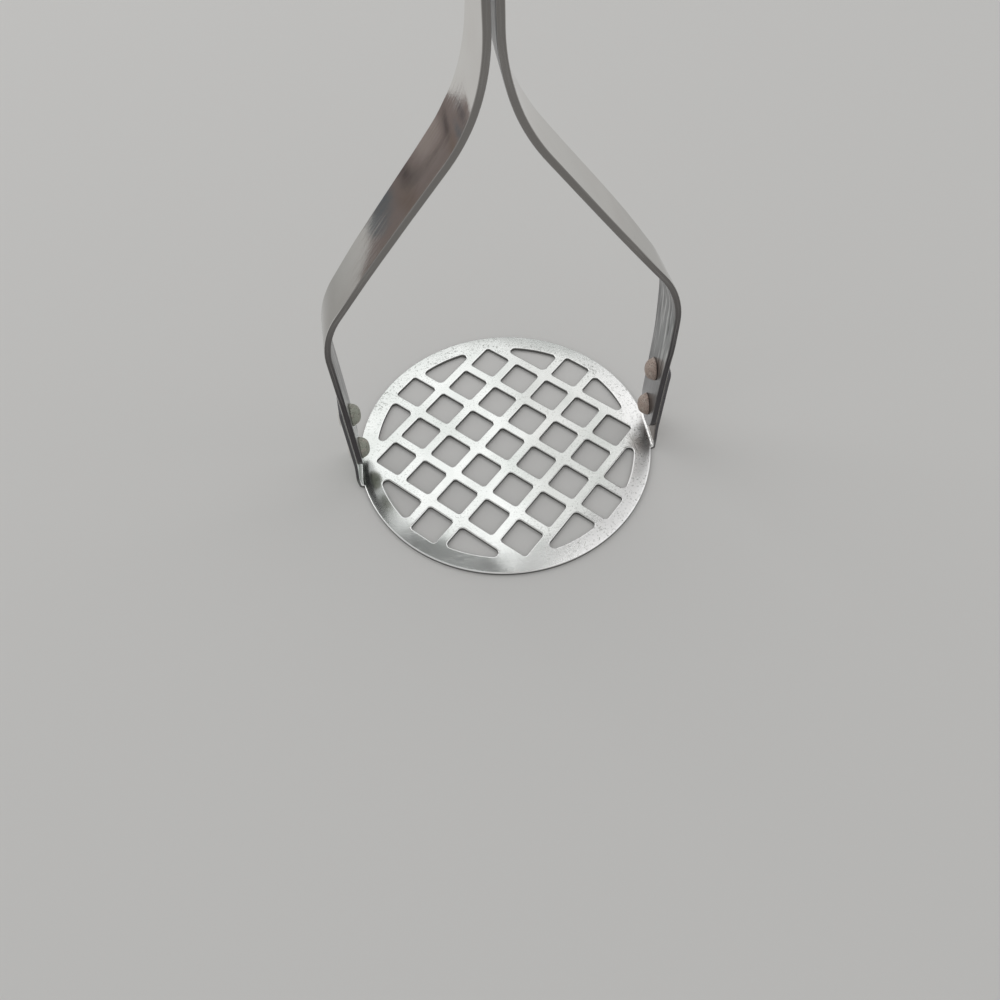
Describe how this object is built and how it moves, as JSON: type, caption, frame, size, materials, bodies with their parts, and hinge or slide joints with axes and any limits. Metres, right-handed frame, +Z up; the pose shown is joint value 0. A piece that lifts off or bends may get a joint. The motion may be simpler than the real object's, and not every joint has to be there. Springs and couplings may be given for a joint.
{
  "type": "potato masher",
  "caption": "Potato masher: a round steel plate pierced with square holes, riveted by its upturned tabs to two bent strip arms that meet in a turned wooden grip.",
  "frame": {"origin": "centre of the plate's underside, on the surface that the masher stands on", "axes": "+Z up along the shank and grip, +X towards the right arm's tab, the arms lie in the XZ plane, -Y is the side that the picture shows"},
  "size_m": [0.0898, 0.085, 0.261],
  "materials": {
    "plate_steel": "satin stainless sheet, finely scratched",
    "arm_steel": "polished strip, darker on its edges and inner side",
    "rivet_steel": "dull, finely pitted",
    "ferrule_steel": "satin",
    "grip_wood": "oiled beech, turned",
    "pin_steel": "sanded flush"
  },
  "bodies": {
    "root": {"mashing_plate": "plate_steel", "left_arm": "arm_steel", "right_arm": "arm_steel", "left_lower_rivet": "rivet_steel", "left_upper_rivet": "rivet_steel", "right_lower_rivet": "rivet_steel", "right_upper_rivet": "rivet_steel", "ferrule": "ferrule_steel", "grip": "grip_wood", "lower_grip_pin": "pin_steel", "upper_grip_pin": "pin_steel"}
  },
  "joints": []
}
